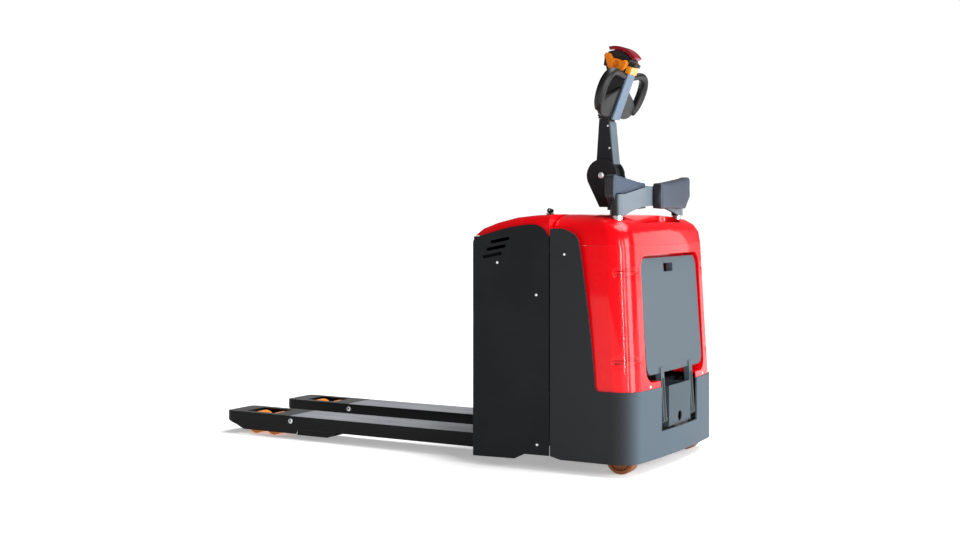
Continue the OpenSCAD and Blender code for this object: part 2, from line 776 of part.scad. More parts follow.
module handle(side) {
    r = grip_d / 2;
    top = 160;
    low = 46;
    bar = 147;
    color([0.07, 0.07, 0.08]) head_frame() mirror([0, side > 0 ? 0 : 1, 0]) {
        // grip
        translate([handle_b, grip_y + 3, top]) sphere(r = r + 0.06);
        translate([handle_b, grip_y - 8, low]) sphere(r = r + 0.06);
        translate([handle_b, grip_y - 8, low]) rotate([-atan2(11, top - low), 0, 0])
            cylinder(r = r, h = norm([11, top - low]));
        // upper bar to the head
        translate([handle_b, 28.8, bar]) rotate([-90, 0, 0]) cylinder(r = 11, h = 65.7);
        translate([handle_b, 94.5, bar]) sphere(r = 11.06);
        translate([handle_b, 94.5, bar]) rotate([-atan2(grip_y + 3 - 94.5, top - bar), 0, 0])
            cylinder(r = 11, h = norm([grip_y + 3 - 94.5, top - bar]));
        // web plate at the foot
        yz(handle_b - 11, handle_b + 3) polygon([[28.3, 30], [70, 14], [110, 18], [grip_y - 2, low - 6],
            [grip_y - 8, low + 26], [118, 74], [96, 84], [60, 104], [28.3, 116]]);
    }
}

module throttle() {
    color([0.95, 0.50, 0.05]) head_frame() {
        ybar([-46, 178], 7, -52, 52);
        for (s = [-1, 1]) difference() {
            xz(s > 0 ? 36 : -58, s > 0 ? 58 : -36) {
                translate([-46, 178]) circle(22);
                translate([-46, 176]) polygon([[-46, 18], [-48, 30], [-38, 32], [-20, 20], [0, 16],
                    [18, 22], [30, 28], [37, 20], [34, 4], [20, -18], [6, -27], [-8, -26], [-26, -8]]);
            }
            // thumb hollow
            ybar([-46, 182], 12, s > 0 ? 52 : -60, s > 0 ? 60 : -52);
        }
    }
}

module belly_button() {
    c = [-54, 150];
    color([0.62, 0.03, 0.12]) head_frame() {
        xz(-30, 30) polygon(concat(arc(c, 91, 52, 122, 16), arc(c, 80, 122, 52, 16)));
        box([-84, -20, 196], [-24, 20, 228]);
    }
}

module horn_button() {
    color([0.98, 0.66, 0.12]) head_frame() {
        box([-15.6, -27, stripe_len + 0.6], [4, 27, 187.4]);
    }
}

module lift_rocker() {
    color([0.12, 0.12, 0.13]) head_frame() {
        box([-6, -24.2, 189.4], [8, 24.2, 201]);
        ybar([0, 195.2], 1.5, -26.4, 26.4);
        for (i = [0 : 2]) box([8 - eps, -22, 189.8 + 4 * i], [10.5, 22, 192 + 4 * i]);
    }
}

// ---------- backrest ----------

module backrest_post(s) {
    color([0.82, 0.84, 0.86]) translate([post_x, s * post_y, 548]) cylinder(r = post_d / 2, h = 342 - 4);
}

module backrest_frame() {
    x0 = post_x + 5;
    color([0.62, 0.68, 0.72]) {
        // sleeves over the posts
        for (s = [-1, 1]) difference() {
            translate([post_x, s * post_y, sleeve_low]) cylinder(r = post_d / 2 + 3, h = sleeve_top - sleeve_low);
            translate([post_x, s * post_y, sleeve_low - 1]) cylinder(r = post_d / 2, h = 70 - 5 + 1);
        }
        // arched plate with a rising upper edge
        difference() {
            yz(x0, x0 + 10) polygon(concat(
                [[-post_y + 12, sleeve_low + 1], [-post_y + 12, sleeve_top - 1], [-30, 921], [30, 921],
                    [post_y - 12, sleeve_top - 1], [post_y - 12, sleeve_low + 1]],
                [for (i = [0 : 12]) let (y = (post_y - 30) * (1 - i / 6))
                    [y, sleeve_low + 2 + 31 * (1 - pow(y / (post_y - 30), 2))]]));
            for (s = [-1, 1]) translate([post_x, s * post_y, sleeve_low - 1])
                cylinder(r = post_d / 2 + 2.9, h = 80);
        }
    }
}

// pad outline in Y and Z with its low corner cut, inner end at 0
module pad_outline() {
    polygon([[0, 843], [0, 926], [8, 932], [pad_len - 12, 958], [pad_len, 950], [pad_len, 884],
        [pad_len - 42, 843]]);
}

module pad_l() {
    x1 = post_x + 5 - 0.3;
    color([0.25, 0.30, 0.36]) translate([0, -26, 0]) difference() {
        mirror([0, 1, 0]) yz(x1 - pad_t, x1) pad_outline();
        translate([post_x, -post_y + 26, 800]) cylinder(r = post_d / 2 + 3.3, h = 91.5);
    }
}

module pad_r() {
    x0 = post_x + 15 + 0.3;
    color([0.25, 0.30, 0.36]) translate([0, -8, 0]) difference() {
        yz(x0, x0 + pad_t) pad_outline();
        translate([post_x, post_y + 8, 800]) cylinder(r = post_d / 2 + 3.3, h = 91.5);
    }
}

// ---------- platform ----------

// children drawn in the platform's own frame: hinge axis at 0, plate upright
module platform_frame() {
    translate([hinge_x, 0, hinge_z]) rotate([0, -plat_lean, 0]) children();
}

// plate outline in Y and Z above the hinge
module plate_outline(inset, r) {
    w = plat_w / 2 - inset;
    low = plat_low - hinge_z + inset;
    top = low + plat_len - 2 * inset;
    translate([-w, low + r]) square([2 * w, top - low - 2 * r]);
    translate([-w + r, low]) square([2 * (w - r), top - low]);
    for (s = [-1, 1]) for (z = [low + r, top - r]) translate([s * (w - r), z]) circle(r);
}

hole_top = plat_low - hinge_z + plat_len - 20;

module platform() {
    color([0.50, 0.54, 0.58]) platform_frame() difference() {
        union() {
            yz(6 - plat_t, 6) plate_outline(0, 34);
            // hinge arms and pin
            for (s = [-1, 1]) link([0, 0], [0, plat_low - hinge_z + 12], arm_bar_t / 2,
                s * arm_bar_y - arm_bar_w / 2, s * arm_bar_y + arm_bar_w / 2);
            for (s = [-1, 1]) ybar([0, 0], pin_r, s > 0 ? 85 : -arm_bar_y, s > 0 ? arm_bar_y : -85);
            // stud of the gas strut
            ybar([0, gas_arm], 4, gas_y + 4.5, -arm_bar_y);
        }
        // hand hole
        box([-plat_t, -49, hole_top - 28], [7, 29, hole_top]);
    }
}

module platform_mat() {
    color([0.06, 0.06, 0.07]) platform_frame() difference() {
        yz(6 - plat_t - mat_t, 6 - plat_t) plate_outline(14, 24);
        box([-40, -53, hole_top - 32], [0, 33, hole_top + 4]);
    }
}

// the strut stands between its stud on the chassis and its stud on the left platform arm
gas_arm = 104;
gas_y = -arm_bar_y - arm_bar_w / 2 - 10;
gas_low = [rear_x - 12, 134];
gas_top = [hinge_x - gas_arm * sin(plat_lean), hinge_z + gas_arm * cos(plat_lean)];
gas_len = norm(gas_top - gas_low);

// children drawn along the strut, from its lower eye upwards
module gas_line() {
    d = gas_top - gas_low;
    translate([gas_low[0], gas_y, gas_low[1]]) rotate([0, atan2(d[0], d[1]), 0]) children();
}

module gas_cylinder() {
    color([0.08, 0.08, 0.09]) difference() {
        union() {
            gas_line() cylinder(r = 6.8, h = 58);
            ybar(gas_low, 7, gas_y - 5, gas_y + 5);
        }
        ybar(gas_low, 4 + run, gas_y - 20, gas_y + 20);
        gas_line() translate([0, 0, 12]) cylinder(r = 3 + run, h = 60);
    }
}

module gas_rod() {
    color([0.86, 0.87, 0.88]) {
        gas_line() translate([0, 0, 26]) cylinder(r = 3, h = gas_len - 26);
        gas_line() translate([0, 0, gas_len - 20]) cylinder(r = 5, h = 14);
        ybar(gas_top, 7, gas_y - 4, gas_y + 4);
    }
}

// ---------- casters ----------

module caster_yoke(s) {
    x = rear_x - 76 - caster_trail;
    c = [x + caster_trail, caster_d / 2];
    color([0.30, 0.31, 0.33]) translate([0, s * caster_y, 0]) {
        translate([x, 0, 140]) cylinder(r = 12, h = 112);
        translate([x, 0, 126]) cylinder(r = 30, h = 19.5);
        xz(-30, 30) polygon([[x - 26, 120], [x + 40, 120], [x + 40, 127], [x - 26, 127]]);
        for (t = [-1, 1]) xz(t > 0 ? 25 : -30, t > 0 ? 30 : -25) {
            translate(c) circle(15);
            polygon([[x - 26, 121], [x + 40, 121], c + [14, 3], c + [-14, -4]]);
        }
        ybar(c, 8, -33, 33);
    }
}

module caster_wheel(s) {
    r = caster_d / 2;
    color([0.80, 0.38, 0.08]) translate([rear_x - 76, s * caster_y + caster_w / 2, r]) rotate([90, 0, 0])
        rotate_extrude() polygon([[8 + run, 0], [20, 0], [24, 6], [r - 14, 6], [r - 12, 0], [r - 4, 0],
            [r, 5], [r, caster_w - 5], [r - 4, caster_w], [r - 12, caster_w], [r - 14, caster_w - 6],
            [24, caster_w - 6], [20, caster_w], [8 + run, caster_w]]);
}

chassis_frame();
drive_shell();
rear_cover();
top_hood();
hinge_bracket();
controller();
hydraulic_unit();
lift_cylinder();
battery_box();
side_panel(-1);  // side_panel_l
side_panel(1);  // side_panel_r
battery();
bridge_cover();
battery_lid();
key_switch();
key();
lift_rod();
fork(-fork_yc);  // fork_l
fork(fork_yc);  // fork_r
skid(-fork_yc);  // skid_l
skid(fork_yc);  // skid_r
torsion_shaft();
push_rod(-fork_yc);  // push_rod_l
push_rod(fork_yc);  // push_rod_r
load_arm(-fork_yc);  // load_arm_l
load_arm(fork_yc);  // load_arm_r
bogie(-fork_yc);  // bogie_l
bogie(fork_yc);  // bogie_r
roller(-fork_yc, -1);  // roller_tip_l
roller(-fork_yc, 1);  // roller_heel_l
roller(fork_yc, -1);  // roller_tip_r
roller(fork_yc, 1);  // roller_heel_r
drive_unit();
drive_wheel();
steering_column();
tiller_arm();
arm_trim();
tiller_head();
head_trim();
handle(-1);  // handle_l
handle(1);  // handle_r
throttle();
belly_button();
horn_button();
lift_rocker();
backrest_frame();
backrest_post(-1);  // backrest_post_l
backrest_post(1);  // backrest_post_r
pad_l();
pad_r();
platform();
platform_mat();
gas_cylinder();
gas_rod();
caster_yoke(-1);  // caster_yoke_l
caster_yoke(1);  // caster_yoke_r
caster_wheel(-1);  // caster_wheel_l
caster_wheel(1);  // caster_wheel_r
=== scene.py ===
import math

import bmesh
import bpy
from mathutils import Matrix, Vector


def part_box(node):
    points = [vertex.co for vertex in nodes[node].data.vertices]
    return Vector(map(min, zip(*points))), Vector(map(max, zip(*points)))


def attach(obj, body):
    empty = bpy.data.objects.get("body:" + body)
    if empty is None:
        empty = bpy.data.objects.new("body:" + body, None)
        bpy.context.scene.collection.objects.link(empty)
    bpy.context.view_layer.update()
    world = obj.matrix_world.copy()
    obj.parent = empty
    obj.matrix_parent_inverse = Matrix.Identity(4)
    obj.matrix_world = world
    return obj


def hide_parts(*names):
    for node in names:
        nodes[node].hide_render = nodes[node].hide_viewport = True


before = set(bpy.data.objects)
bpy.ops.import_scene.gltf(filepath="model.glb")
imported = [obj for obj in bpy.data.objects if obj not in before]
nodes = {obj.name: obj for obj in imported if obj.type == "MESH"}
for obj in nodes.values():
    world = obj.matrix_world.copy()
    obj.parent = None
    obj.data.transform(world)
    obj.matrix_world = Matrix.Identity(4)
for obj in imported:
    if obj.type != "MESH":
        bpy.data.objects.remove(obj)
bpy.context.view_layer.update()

# Studio: a wide pale floor under soft daylight. The strong light comes from above and from the
# operator's end, so the long side towards the camera stays in quiet shade.
scene = bpy.context.scene
scene.view_settings.view_transform = "Standard"

floor_mesh = bpy.data.meshes.new("studio_floor")
floor_mesh.from_pydata([(-60, -60, 0), (60, -60, 0), (60, 60, 0), (-60, 60, 0)], [], [(0, 1, 2, 3)])
studio_floor = bpy.data.objects.new("studio_floor", floor_mesh)
scene.collection.objects.link(studio_floor)
floor_paint = bpy.data.materials.new("floor_paint")
floor_paint.use_nodes = True
floor_shader = floor_paint.node_tree.nodes["Principled BSDF"]
floor_shader.inputs["Base Color"].default_value = (0.92, 0.92, 0.92, 1)
floor_shader.inputs["Roughness"].default_value = 0.9
floor_shader.inputs["Specular IOR Level"].default_value = 0.0
floor_shader.inputs["Emission Color"].default_value = (1, 1, 1, 1)
floor_shader.inputs["Emission Strength"].default_value = 0.36
studio_floor.data.materials.append(floor_paint)

sky = bpy.data.worlds.new("soft_sky")
scene.world = sky
sky.use_nodes = True
sky_nodes = sky.node_tree.nodes
sky_ray = sky_nodes.new("ShaderNodeLightPath")
seen_sky = sky_nodes["Background"]
seen_sky.inputs["Color"].default_value = (1, 1, 1, 1)
sky_level = sky_nodes.new("ShaderNodeMapRange")
sky_level.inputs["To Min"].default_value = 0.11
sky_level.inputs["To Max"].default_value = 1.05
sky.node_tree.links.new(sky_ray.outputs["Is Camera Ray"], sky_level.inputs["Value"])
sky.node_tree.links.new(sky_level.outputs["Result"], seen_sky.inputs["Strength"])


def studio_lamp(name, kind, place, target, power, wide=1.0, high=1.0):
    data = bpy.data.lights.new(name, kind)
    data.energy = power
    if kind == "AREA":
        data.shape = "RECTANGLE"
        data.size, data.size_y = wide, high
    else:
        data.angle = math.radians(wide)
    lamp = bpy.data.objects.new(name, data)
    lamp.location = place
    lamp.rotation_euler = (Vector(target) - Vector(place)).to_track_quat("-Z", "Y").to_euler()
    scene.collection.objects.link(lamp)


studio_lamp("daylight", "SUN", (2.6, 1.2, 6), (0, 0, 0), 2.9, 40)
studio_lamp("operator_softbox", "AREA", (4.6, -0.4, 1.3), (0.8, 0, 0.6), 124, 1.6, 2.4)
studio_lamp("far_softbox", "AREA", (3.4, 4.6, 1.2), (0.8, 0, 0.5), 38, 2.6, 2.6)
studio_lamp("far_wall", "AREA", (-3.4, 6.2, 1.15), (-0.2, 0, 0.3), 62, 7.0, 2.3)
studio_lamp("top_softbox", "AREA", (0.9, 1.6, 3.6), (0.6, 0, 0.8), 38, 2.6, 1.2)
studio_lamp("corner_strip", "AREA", (3.1, -2.35, 1.2), (0.83, -0.3, 0.55), 42, 0.1, 1.9)
studio_lamp("corner_strip_wide", "AREA", (3.75, -1.75, 1.2), (0.83, -0.3, 0.55), 26, 0.3, 2.1)

camera_data = bpy.data.cameras.new("studio_camera")
camera_data.lens = 51.83
camera_data.sensor_width = 36
camera_data.shift_y = -57 / 960
studio_camera = bpy.data.objects.new("studio_camera", camera_data)
studio_camera.location = (2.58834, -4.316, 0.831)
studio_camera.rotation_euler = (math.radians(90), 0, math.radians(30))
scene.collection.objects.link(studio_camera)
scene.camera = studio_camera


# Chassis: a welded plate frame, powder coated satin black. Wear pales the coat along its edges. The
# battery box is painted alike, with painted shade, near black, along both sides where the slots show it.
class Wire:
    """A shader socket: sums on it add the nodes that work them out."""

    def __init__(self, tree, socket):
        self.tree, self.socket = tree, socket

    def node(self, kind, settings, sockets, give=0):
        made = self.tree.nodes.new("ShaderNode" + kind)
        for name, value in settings.items():
            setattr(made, name, value)
        for key, value in sockets.items():
            if isinstance(value, Wire):
                self.tree.links.new(value.socket, made.inputs[key])
            else:
                made.inputs[key].default_value = value
        return Wire(self.tree, made.outputs[give])

    def sum(self, how, *values):
        return self.node("Math", {"operation": how}, dict(enumerate(values)))

    def __add__(self, other):
        return self.sum("ADD", self, other)

    def __radd__(self, other):
        return self.sum("ADD", other, self)

    def __sub__(self, other):
        return self.sum("SUBTRACT", self, other)

    def __rsub__(self, other):
        return self.sum("SUBTRACT", other, self)

    def __mul__(self, other):
        return self.sum("MULTIPLY", self, other)

    def __rmul__(self, other):
        return self.sum("MULTIPLY", other, self)

    def __abs__(self):
        return self.sum("ABSOLUTE", self)

    def step(self, low, high):
        """0 below low and 1 above high, smooth between; the other way round if low is the larger."""
        return self.node("MapRange", {"interpolation_type": "SMOOTHSTEP"},
                         {"Value": self, "From Min": low, "From Max": high})

    def mix(self, first, second):
        """first where this is 0, second where it is 1."""
        return self.node("Mix", {"data_type": "RGBA"}, {0: self, 6: first, 7: second}, 2)


def paint(red, green, blue):
    """A colour as it is on a paint card, 0 to 255, made linear for the shader."""
    linear = [((c / 255 + 0.055) / 1.055) ** 2.4 if c > 10 else c / 255 / 12.92 for c in (red, green, blue)]
    return (*linear, 1)


class Finish:
    """A material on the object: its place sockets, and what feeds its shader."""

    def __init__(self, name, edge_radius=0.0012, **fixed):
        self.material = bpy.data.materials.new(name)
        self.material.use_nodes = True
        tree = self.material.node_tree
        self.shader = tree.nodes["Principled BSDF"]
        self.tree = tree
        start = Wire(tree, None)
        self.place = start.node("TexCoord", {}, {}, "Object")
        parts = self.place.node("SeparateXYZ", {}, {0: self.place})
        split = parts.socket.node
        self.x, self.y, self.z = (Wire(tree, split.outputs[i]) for i in range(3))
        self.round = start.node("Bevel", {"samples": 4}, {"Radius": edge_radius})
        flat = start.node("NewGeometry", {}, {}, "Normal")
        alike = start.node("VectorMath", {"operation": "DOT_PRODUCT"}, {0: self.round, 1: flat}, "Value")
        self.edge = (1 - alike).step(0.01, 0.16)
        for socket, value in fixed.items():
            self.shader.inputs[socket.replace("_", " ")].default_value = value

    def grain(self, size, detail=2.0, stretch=None):
        where = self.place
        if stretch:
            where = where.node("VectorMath", {"operation": "MULTIPLY"}, {0: where, 1: stretch})
        return where.node("TexNoise", {}, {"Vector": where, "Scale": 1 / size, "Detail": detail})

    def rub(self, wear):
        """How far the coat is rubbed through, in patches along the edges."""
        return self.edge * self.grain(0.012, 3.0).step(0.42, 0.62) * wear

    def rearward(self, low, high):
        """0 on faces that look aside or forward, 1 on those that look to the operator's end."""
        outward = self.place.node("TexCoord", {}, {}, "Normal")
        return self.place.node("SeparateXYZ", {}, {0: outward}, "X").step(low, high)

    def give(self, socket, value):
        self.tree.links.new(value.socket, self.shader.inputs[socket])

    def relief(self, height, depth):
        """Raises the skin by height, which is depth metres tall at 1."""
        bump = height.node("Bump", {}, {"Distance": depth, "Height": height, "Normal": self.round})
        self.give("Normal", bump)


def powder_coat(name, colour, worn, rough=0.42, grain=0.0016, depth=0.00012, wear=0.5, level=0.12):
    """Sprayed and baked powder: a fine pebbled skin, rubbed paler along the edges."""
    coat = Finish(name, 0.0015, Specular_IOR_Level=level)
    broad = coat.grain(0.16, 4.0)
    fine = coat.grain(grain, 1.0)
    thin = tuple(c * 0.82 for c in colour[:3]) + (1,)
    coat.give("Base Color", coat.rub(wear).mix(broad.step(0.3, 0.7).mix(thin, colour), worn))
    coat.give("Roughness", rough - 0.07 + 0.14 * broad + 0.06 * fine)
    coat.relief(fine, depth)
    return coat.material


def dress(name, material):
    """Gives a CAD piece its finish, and shades its curved faces smooth between its hard edges."""
    piece = nodes[name]
    mesh = piece.data
    if "custom_normal" in mesh.attributes:
        mesh.attributes.remove(mesh.attributes["custom_normal"])
    for face in mesh.polygons:
        face.use_smooth = True
    mesh.materials.clear()
    mesh.materials.append(material)
    weld = piece.modifiers.new("weld", "WELD")
    weld.merge_threshold = 0.00001
    split = piece.modifiers.new("hard_edges", "EDGE_SPLIT")
    split.split_angle = math.radians(31)
    even = piece.modifiers.new("even_shade", "WEIGHTED_NORMAL")
    even.mode = "FACE_AREA"
    even.weight = 100


frame_black = powder_coat("frame_black", paint(34, 34, 36), paint(96, 98, 100))
for name in ("chassis_frame", "lift_cylinder", "steering_column"):
    dress(name, frame_black)
box_coat = Finish("box_black", 0.0015, Specular_IOR_Level=0.12)
# Painted shade: both sides of the box, seen through the panels' slots, are painted near black.
box_shaded_flank = abs(box_coat.y).step(0.34, 0.35)
box_coat.give("Base Color", box_shaded_flank.mix(paint(34, 34, 36), paint(3, 3, 3)))
box_coat.give("Roughness", 0.42 + 0.14 * box_coat.grain(0.16, 4.0) + 0.3 * box_shaded_flank)
box_coat.relief(box_coat.grain(0.0016, 1.0), 0.00012)
dress("battery_box", box_coat.material)

# Machinery under the covers: the battery in its moulded case, the cast controller housing, and
# the hydraulic unit and motor in grey enamel. Only gaps and raised covers show them.
machine_enamel = powder_coat("machine_enamel", paint(96, 98, 100), paint(150, 150, 150),
                             rough=0.35, grain=0.004, depth=0.00006)
battery_case = powder_coat("battery_case", paint(70, 72, 76), paint(100, 102, 106),
                           rough=0.5, grain=0.0012, depth=0.00005, wear=0.1)
cast_alloy = Finish("cast_alloy", 0.002, Metallic=1.0)
cast_tone = cast_alloy.grain(0.02, 5.0)
cast_alloy.give("Base Color", cast_tone.mix(paint(168, 170, 172), paint(205, 206, 208)))
cast_alloy.give("Roughness", 0.42 + 0.2 * cast_tone)
cast_alloy.relief(cast_alloy.grain(0.0012, 2.0), 0.0001)
for name in ("hydraulic_unit", "drive_unit"):
    dress(name, machine_enamel)
dress("battery", battery_case)
dress("controller", cast_alloy.material)


# Covers: four glossy mouldings in red, coloured through and lacquered. The rear one has two
# shallow creases round its corners, and a crisp line down each flank.
def gloss_cover(name, creased):
    """Lacquered red moulding, scuffed a little along its height."""
    skin = Finish(name, 0.0022, Coat_Weight=0.42, Coat_Roughness=0.035, Specular_IOR_Level=0.12)
    broad = skin.grain(0.22, 3.0)
    scuff = skin.grain(0.03, 6.0, (1, 1, 0.16)).step(0.62, 0.74)
    red = broad.mix(paint(210, 2, 12), paint(220, 3, 16))
    # Painted highlight: the edges are painted a lighter red.
    skin.give("Base Color", (skin.edge * 0.35).mix(red, paint(255, 52, 40)))
    skin.give("Roughness", 0.24 + 0.08 * broad + 0.1 * scuff)
    height = skin.grain(0.007, 1.0) * 0.05
    if creased:
        flank = abs(skin.y).step(0.262, 0.276) * skin.x.step(0.775, 0.79)
        for level in (0.642, 0.362):
            # A sharp groove, and a shallow hollow above and below it.
            crease = abs(skin.z - level).step(0.009, 0.0005)
            hollow = skin.z.step(level + 0.02, level) * skin.z.step(level - 0.03, level)
            height = height - crease * flank - hollow * flank * 0.4
        skin.relief(height, 0.014)
    else:
        skin.relief(height, 0.002)
    return skin.material


dress("rear_cover", gloss_cover("red_rear_cover", True))
red_cover = gloss_cover("red_cover", False)
for name in ("top_hood", "bridge_cover", "battery_lid"):
    dress(name, red_cover)

# Skirt: bent sheet round the drive unit, in a blue-grey textured powder coat round the corners and the
# back; along its flanks, where the sheet turns from the light, it is painted near black as painted shade.
skirt = Finish("skirt_grey", 0.0015, Specular_IOR_Level=0.14)
skirt_broad = skirt.grain(0.16, 4.0)
skirt_fine = skirt.grain(0.0022, 1.0)
# Painted shade: the flanks are painted near black; the back and corners keep the blue-grey coat.
skirt_lit_back = abs(skirt.y).step(0.3646, 0.300)
skirt_tone_and_shade = skirt_lit_back.mix(paint(35, 36, 38), skirt_broad.mix(paint(66, 79, 89), paint(72, 85, 95)))
skirt.give("Base Color", skirt.rub(0.4).mix(skirt_tone_and_shade, paint(110, 118, 124)))
skirt.give("Roughness", 0.5 + 0.12 * skirt_broad)
skirt.relief(skirt_fine, 0.00014)
dress("drive_shell", skirt.material)

# Side panels: flat steel plates beside the battery, textured black, with three slanted slots,
# held on by zinc plated button screws with hexagon sockets.
panel_black = powder_coat("panel_black", paint(31, 32, 34), paint(70, 72, 74),
                          rough=0.55, grain=0.002, depth=0.00018, wear=0.4, level=0.06)
for name in ("side_panel_l", "side_panel_r"):
    dress(name, panel_black)

zinc = Finish("zinc_plate", 0.0008, Metallic=1.0)
zinc_tone = zinc.grain(0.012, 4.0)
zinc.give("Base Color", zinc_tone.mix(paint(150, 153, 158), paint(206, 208, 212)))
zinc.give("Roughness", 0.24 + 0.22 * zinc_tone)
zinc.relief(zinc.grain(0.0015, 2.0, (0.2, 0.2, 1)), 0.00004)
zinc_plate = zinc.material

white_zinc = Finish("white_zinc", 0.0004, Metallic=0.4)
white_tone = white_zinc.grain(0.002, 2.0)
white_zinc.give("Base Color", white_tone.mix(paint(196, 198, 200), paint(238, 240, 242)))
white_zinc.give("Roughness", 0.28 + 0.14 * white_tone)
white_zinc.relief(white_tone, 0.00003)


def join_rings(shape, first, second):
    """A band of faces between two rings of as many points."""
    for k in range(len(first)):
        after = (k + 1) % len(first)
        shape.faces.new((first[k], first[after], second[after], second[k]))


def close_ring(shape, ring, place):
    """Faces from a ring to one point in its middle."""
    tip = shape.verts.new(place)
    for k in range(len(ring)):
        shape.faces.new((ring[k], ring[(k + 1) % len(ring)], tip))


def button_screw(name, node, start, toward, radius, body, aside=0.0):
    """A domed head with a six-sided socket, seated where a line from start meets the CAD piece; aside
    looks for the face that far along X, beside a bore."""
    aim = Vector(toward).normalized()
    found, seat, face, _ = nodes[node].ray_cast(Vector(start) + Vector((aside, 0, 0)), aim)
    if not found:
        print("no seat for", name)
        return
    seat = seat - Vector((aside, 0, 0))
    shape = bmesh.new()
    dome = ((1.0, 0.0), (1.0, 0.10), (0.93, 0.30), (0.74, 0.48), (0.52, 0.55))
    socket = ((0.46, 0.52), (0.44, 0.14))
    sides = 24
    loops = []
    for reach, up in dome + socket:
        loop = []
        for i in range(sides):
            turn = 2 * math.pi * i / sides
            out = reach
            if reach < 0.5:
                out = reach / math.cos((turn + math.pi / 6) % (math.pi / 3) - math.pi / 6)
            loop.append(shape.verts.new(Vector((out * math.cos(turn), out * math.sin(turn), up)) * radius))
        loops.append(loop)
    for lower, upper in zip(loops, loops[1:]):
        join_rings(shape, lower, upper)
    close_ring(shape, loops[-1], (0, 0, 0.10 * radius))
    shape.faces.new(reversed(loops[0]))
    turn = face.to_track_quat("Z", "Y").to_matrix().to_4x4()
    bmesh.ops.transform(shape, matrix=Matrix.Translation(seat + face * 0.0001) @ turn, verts=shape.verts)
    mesh = bpy.data.meshes.new(name)
    shape.to_mesh(mesh)
    shape.free()
    mesh.materials.append(white_zinc.material)
    screw = bpy.data.objects.new(name, mesh)
    scene.collection.objects.link(screw)
    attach(screw, body)


hands = (("l", -1), ("r", 1))
for side, hand in hands:
    inward = (0, -hand, 0)
    for number, (x, z) in enumerate(((0.3723, 0.669), (0.5163, 0.567), (0.5193, 0.084))):
        panel, panel_spot = f"side_panel_{side}", (x, hand, z)
        button_screw(f"panel_screw_{side}{number}", panel, panel_spot, inward, 0.0046, "load_frame")
    shell_spot = (0.6173, hand, 0.699)
    button_screw(f"shell_screw_{side}", "drive_shell", shell_spot, inward, 0.0042, "chassis")
    cover_spot = (1.5, hand * 0.228, 0.2755)
    button_screw(f"cover_screw_{side}", "rear_cover", cover_spot, (-1, 0, 0), 0.0048, "chassis")

# Forks: folded steel channels in black enamel, with a welded seam behind the roller window. The
# tops are painted paler in streaks along their length: partly rub from pallets, partly painted light from
# above.
fork_coat = Finish("fork_black", 0.002, Specular_IOR_Level=0.12)
fork_broad = fork_coat.grain(0.12, 5.0)
# Painted light and wear: the tops are painted paler, in streaks along their length.
fork_top = fork_coat.z.step(0.0838, 0.0848) * fork_coat.x.step(-0.5645, -0.5630)
fork_top_light_and_rub = fork_top * (0.72 + 0.28 * fork_coat.grain(0.05, 5.0, (0.12, 1, 1)).step(0.35, 0.7))
fork_seam = abs(fork_coat.x + 0.5637).step(0.0022, 0.0008) * fork_coat.z.step(0.083, 0.0845)
fork_enamel = fork_broad.mix(paint(13, 13, 14), paint(19, 19, 20))
# Painted highlight: the edges are painted a lighter grey.
fork_enamel_and_edge_highlight = (fork_coat.edge * 0.5).mix(fork_enamel, paint(80, 82, 85))
fork_coat.give("Base Color", fork_seam.mix(fork_top_light_and_rub.mix(fork_enamel_and_edge_highlight, paint(138, 140, 147)), paint(6, 6, 6)))
fork_coat.give("Roughness", 0.34 + 0.2 * fork_broad)
fork_coat.relief(fork_coat.grain(0.004, 2.0) * 0.12 - fork_seam, 0.0012)
for name in ("fork_l", "fork_r", "skid_l", "skid_r", "load_arm_l", "load_arm_r"):
    dress(name, fork_coat.material)
dress("torsion_shaft", zinc_plate)
for side, hand in hands:
    for kind in ("push_rod", "bogie", "caster_yoke"):
        dress(f"{kind}_{side}", zinc_plate)
    for edge, place in ((hand, "outer"), (-hand, "inner")):
        pin_name = f"arm_pin_{side}_{place}"
        pin_spot = (-0.55666, hand * 0.184 + edge * 0.17, 0.066)
        button_screw(pin_name, f"fork_{side}", pin_spot, (0, -edge, 0), 0.0092, "load_frame", aside=0.03)


# Wheels: cast polyurethane bonded to hubs. The load rollers are bright orange, the casters the same
# orange painted darker as painted shade, the drive wheel browner, with a fine matte tread band.
def urethane(name, deep, bright, rough):
    tyre = Finish(name, 0.0012, Specular_IOR_Level=0.45)
    mottled = tyre.grain(0.01, 4.0)
    tyre.give("Base Color", mottled.mix(deep, bright))
    tyre.give("Roughness", rough + 0.16 * mottled)
    tyre.relief(tyre.grain(0.0018, 2.0), 0.00012)
    return tyre.material


orange_tyre = urethane("orange_urethane", paint(214, 112, 18), paint(246, 150, 34), 0.34)
for name in ("roller_tip_l", "roller_heel_l", "roller_tip_r", "roller_heel_r"):
    dress(name, orange_tyre)
# Painted shade: the casters' orange is painted darker, as they stand in shade.
caster_tyre_painted_shade = urethane("caster_urethane_painted_shade", paint(108, 56, 10), paint(140, 76, 18), 0.4)
for name in ("caster_wheel_l", "caster_wheel_r"):
    dress(name, caster_tyre_painted_shade)
dress("drive_wheel", urethane("brown_urethane", paint(150, 74, 22), paint(178, 94, 34), 0.45))

# Lift rod and backrest posts: ground bar with polished hard chrome.
chrome = Finish("hard_chrome", 0.0006, Metallic=1.0)
chrome_haze = chrome.grain(0.004, 3.0, (1, 1, 0.05))
chrome.give("Base Color", chrome_haze.mix(paint(214, 216, 220), paint(236, 237, 240)))
chrome.give("Roughness", 0.08 + 0.1 * chrome_haze)
chrome.relief(chrome_haze, 0.00001)
for name in ("lift_rod", "backrest_post_l", "backrest_post_r", "gas_rod"):
    dress(name, chrome.material)


